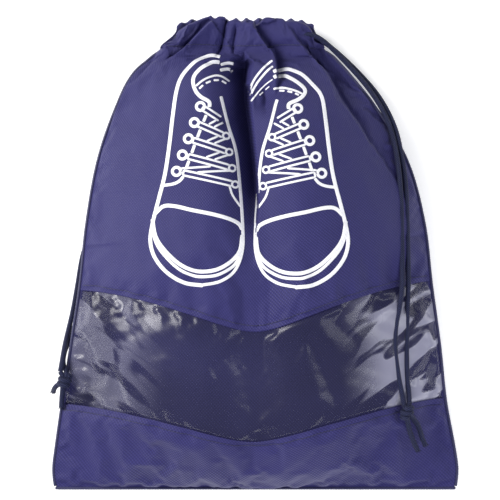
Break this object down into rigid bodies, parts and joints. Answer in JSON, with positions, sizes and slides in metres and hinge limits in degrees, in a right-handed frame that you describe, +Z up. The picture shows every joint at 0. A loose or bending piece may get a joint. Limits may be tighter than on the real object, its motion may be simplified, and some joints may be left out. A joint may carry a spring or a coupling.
{
  "type": "drawstring shoe bag",
  "caption": "Soft drawstring bag for a pair of shoes, with a clear window across the front, drawn closed by two knotted cords and lying on its back.",
  "frame": {"origin": "on the surface that the bag lies on, under the middle of the bag's box, measured without the free cords", "axes": "+Z up, out of the printed front; +Y from the bottom seam to the drawn mouth; +X to the right of someone who reads the front"},
  "size_m": [0.3197, 0.3722, 0.0784],
  "materials": {
    "non_woven_cloth": "matte, embossed with fine diagonal dots",
    "clear_film": "clear and glossy, a little wrinkled",
    "sewing_thread": "matte",
    "drawcord": "matte braid"
  },
  "bodies": {
    "bag": {"back_panel": "non_woven_cloth", "front_lower_panel": "non_woven_cloth", "front_upper_panel": "non_woven_cloth", "front_channel": "non_woven_cloth", "back_channel": "non_woven_cloth", "window_film": "clear_film", "left_side_seam": "sewing_thread", "right_side_seam": "sewing_thread", "bottom_seam": "sewing_thread", "window_top_stitching": "sewing_thread", "window_bottom_stitching": "sewing_thread", "front_channel_stitching": "sewing_thread", "back_channel_stitching": "sewing_thread", "left_cord_loop": "drawcord", "right_cord_loop": "drawcord", "left_cord_front_strand": "drawcord", "left_cord_rear_strand": "drawcord", "right_cord_front_strand": "drawcord", "right_cord_rear_strand": "drawcord"},
    "right_pull": {"right_cord_knot": "drawcord", "right_cord_front_tail": "drawcord", "right_cord_rear_tail": "drawcord"},
    "left_pull": {"left_cord_knot": "drawcord", "left_cord_front_tail": "drawcord", "left_cord_rear_tail": "drawcord"}
  },
  "joints": [
    {"name": "right_cord_draw", "type": "slide", "parent": "bag", "child": "right_pull", "axis": [0.2385, -0.9141, -0.3279], "range_m": [0, 0.035]},
    {"name": "left_cord_draw", "type": "slide", "parent": "bag", "child": "left_pull", "axis": [-0.22, -0.9755, 0], "range_m": [0, 0.035]}
  ]
}
